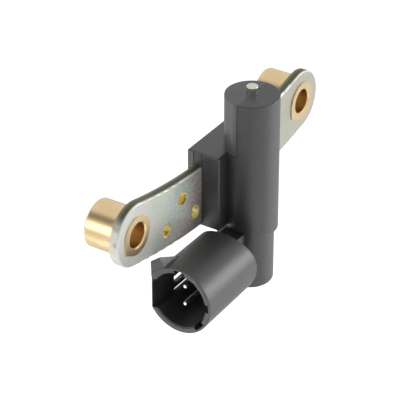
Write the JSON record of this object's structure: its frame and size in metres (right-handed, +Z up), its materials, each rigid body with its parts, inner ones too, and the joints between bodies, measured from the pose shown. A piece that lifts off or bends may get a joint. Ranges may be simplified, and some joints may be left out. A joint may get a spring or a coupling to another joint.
{
  "type": "crankshaft position sensor",
  "caption": "Inductive speed sensor: round body with pole tip on a curved steel bracket with flanged brass bushes, and a round side connector with two pins.",
  "frame": {"origin": "midway between the two bush bores, in the plane of the bush ends that seat on the engine", "axes": "+X along the bracket away from the connector side, +Y from the bracket towards the engine along the fixing bolts, +Z up along the body axis to the pole tip"},
  "size_m": [0.1214, 0.0369, 0.0718],
  "materials": {
    "housing_plastic": "satin moulded, dark grey",
    "zinc_plate": "zinc plated with faint rainbow passivation",
    "bush_brass": "satin turned",
    "pole_steel": "bright turned",
    "magnet_metal": "ground, nickel plated",
    "back_iron": "punched",
    "bobbin_plastic": "natural glass-filled",
    "coil_copper": "enamelled wire",
    "coil_tape": "amber film",
    "terminal_metal": "tinned",
    "solder": "bright",
    "lead_copper": "enamelled wire"
  },
  "bodies": {
    "root": {"housing": "housing_plastic", "bracket_plate": "zinc_plate", "left_bush": "bush_brass", "right_bush": "bush_brass", "pole_piece": "pole_steel", "magnet": "magnet_metal", "back_iron_disc": "back_iron", "coil_bobbin": "bobbin_plastic", "coil_winding": "coil_copper", "winding_tape": "coil_tape", "upper_terminal": "terminal_metal", "lower_terminal": "terminal_metal", "upper_solder": "solder", "lower_solder": "solder", "start_lead": "lead_copper", "finish_lead": "lead_copper"}
  },
  "joints": []
}
